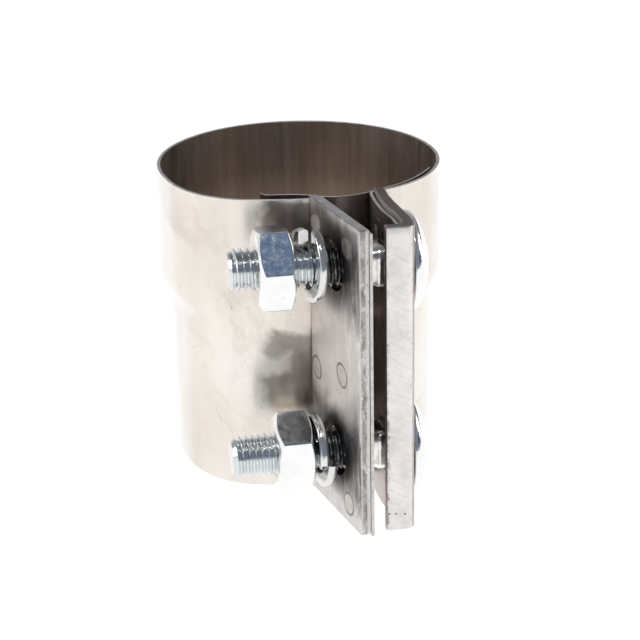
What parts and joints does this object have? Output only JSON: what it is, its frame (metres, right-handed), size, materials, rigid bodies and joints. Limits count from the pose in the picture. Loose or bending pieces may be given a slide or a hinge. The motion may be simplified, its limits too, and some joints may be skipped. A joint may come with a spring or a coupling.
{
  "type": "stepped pipe band clamp",
  "caption": "Stepped stainless band clamp for joining or sealing a pipe, drawn closed by bolts through a flat bar and an angle bar.",
  "frame": {"origin": "on the bore axis at the band's lower rim", "axes": "+Z along the bore axis towards the larger bore, +X along the bolts from their tips to their heads, the bars on the -Y side"},
  "size_m": [0.068, 0.0929, 0.0738],
  "materials": {
    "band_steel": "bright rolled stainless sheet, warm tint",
    "strip_steel": "rolled stainless sheet",
    "bar_steel": "dull mill-finish stainless bar with sheared edges",
    "zinc_plate": "bright bluish zinc plate",
    "zinc_spring": "zinc plated spring steel",
    "weld_steel": "heat-darkened resistance weld"
  },
  "bodies": {
    "fixed_side": {"band_right_half": "band_steel", "angle_bar": "bar_steel", "seal_strip": "strip_steel", "upper_carriage_bolt": "zinc_plate", "lower_carriage_bolt": "zinc_plate", "angle_bar_spot_welds": "weld_steel", "seal_strip_spot_welds": "weld_steel"},
    "flexing_band": {"band_left_half": "band_steel"},
    "flat_bar_side": {"band_left_ear": "band_steel", "flat_bar": "bar_steel", "flat_bar_spot_welds": "weld_steel"},
    "upper_washer": {"upper_lock_washer": "zinc_spring"},
    "lower_washer": {"lower_lock_washer": "zinc_spring"},
    "upper_nut_body": {"upper_nut": "zinc_plate"},
    "lower_nut_body": {"lower_nut": "zinc_plate"}
  },
  "joints": [
    {"name": "band_closing", "type": "hinge", "parent": "fixed_side", "child": "flexing_band", "pos_m": [-0.00576, 0.03046, 0.0364], "axis": [0, 0, 1], "range_deg": [0, 7.51], "deforming": ["seal_strip"]},
    {"name": "flat_bar_swing", "type": "hinge", "parent": "flexing_band", "child": "flat_bar_side", "pos_m": [-0.00709, -0.03336, 0.0364], "axis": [0, 0, 1], "range_deg": [-19.72, 0]},
    {"name": "upper_washer_slide", "type": "slide", "parent": "fixed_side", "child": "upper_washer", "axis": [1, 0, 0], "range_m": [0, 0.00971]},
    {"name": "lower_washer_slide", "type": "slide", "parent": "fixed_side", "child": "lower_washer", "axis": [1, 0, 0], "range_m": [0, 0.00901]},
    {"name": "upper_nut_spin", "type": "hinge", "parent": "upper_washer", "child": "upper_nut_body", "pos_m": [-0.0131, -0.0437, 0.0614], "axis": [1, 0, 0], "range_deg": [0, 2329]},
    {"name": "lower_nut_spin", "type": "hinge", "parent": "lower_washer", "child": "lower_nut_body", "pos_m": [-0.0099, -0.0437, 0.016], "axis": [1, 0, 0], "range_deg": [0, 2160]}
  ],
  "couplings": [
    {"joint": "band_closing", "follows": "lower_nut_spin", "ratio": 0.0034722},
    {"joint": "flat_bar_swing", "follows": "lower_nut_spin", "ratio": -0.0091204},
    {"joint": "lower_washer_slide", "follows": "lower_nut_spin", "m_per_rad": 0.00023873},
    {"joint": "upper_washer_slide", "follows": "lower_nut_spin", "m_per_rad": 0.0002573},
    {"joint": "upper_nut_spin", "follows": "lower_nut_spin", "ratio": 1.0778}
  ]
}
